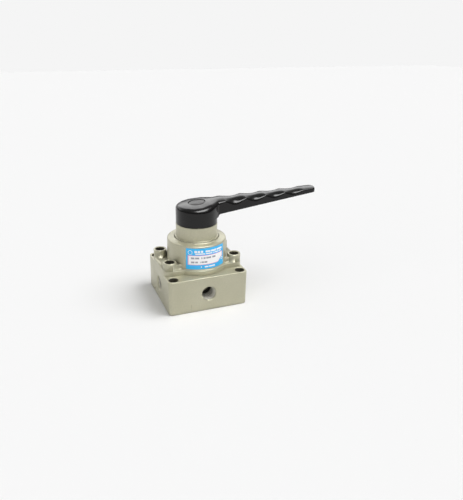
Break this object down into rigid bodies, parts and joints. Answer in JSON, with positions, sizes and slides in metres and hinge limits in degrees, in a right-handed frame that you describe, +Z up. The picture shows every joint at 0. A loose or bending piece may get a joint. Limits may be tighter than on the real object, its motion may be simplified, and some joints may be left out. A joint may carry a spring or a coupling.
{
  "type": "hand lever air valve",
  "caption": "Hand operated rotary air valve: square ported block, round bonnet and a long black lever with finger grooves.",
  "frame": {"origin": "centre of the valve body's underside", "axes": "+Z up along the spindle, lever along +X in its middle position, supply port face towards -Y"},
  "size_m": [0.143, 0.063, 0.0869],
  "materials": {
    "painted_casting": "sprayed semi-gloss enamel",
    "sticker": "gloss",
    "black_casting": "sprayed semi-gloss enamel",
    "black_plastic": "satin",
    "dark_steel": "dark oxide",
    "rubber": "matt",
    "bronze": "sintered",
    "steel": "turned",
    "aluminium": "lapped",
    "spring_steel": "drawn wire"
  },
  "bodies": {
    "valve": {"valve_body": "painted_casting", "bonnet": "painted_casting", "body_seal": "rubber", "bonnet_screws": "dark_steel", "lock_washers": "dark_steel", "neck_bush": "bronze", "thrust_washer": "bronze", "stop_pin": "steel", "label": "sticker"},
    "lever": {"lever": "black_casting", "lever_cap": "black_plastic", "lever_screw": "steel", "lever_washer": "steel", "spindle": "steel", "spindle_seal": "rubber", "valve_disc": "aluminium", "disc_spring": "spring_steel", "detent_spring_left": "spring_steel", "detent_spring_right": "spring_steel"},
    "ball_left": {"detent_ball_left": "steel"},
    "ball_right": {"detent_ball_right": "steel"}
  },
  "joints": [
    {"name": "lever_turn", "type": "hinge", "parent": "valve", "child": "lever", "pos_m": [0, 0, 0], "axis": [0, 0, 1], "range_deg": [-45, 45]},
    {"name": "ball_left_slide", "type": "slide", "parent": "lever", "child": "ball_left", "axis": [0, 0, 1], "range_m": [0, 0.0008], "stiffness_N_per_m": 100, "springref_m": 0.0016, "deforming": ["detent_spring_left"]},
    {"name": "ball_right_slide", "type": "slide", "parent": "lever", "child": "ball_right", "axis": [0, 0, 1], "range_m": [0, 0.0008], "stiffness_N_per_m": 100, "springref_m": 0.0016, "deforming": ["detent_spring_right"]}
  ]
}
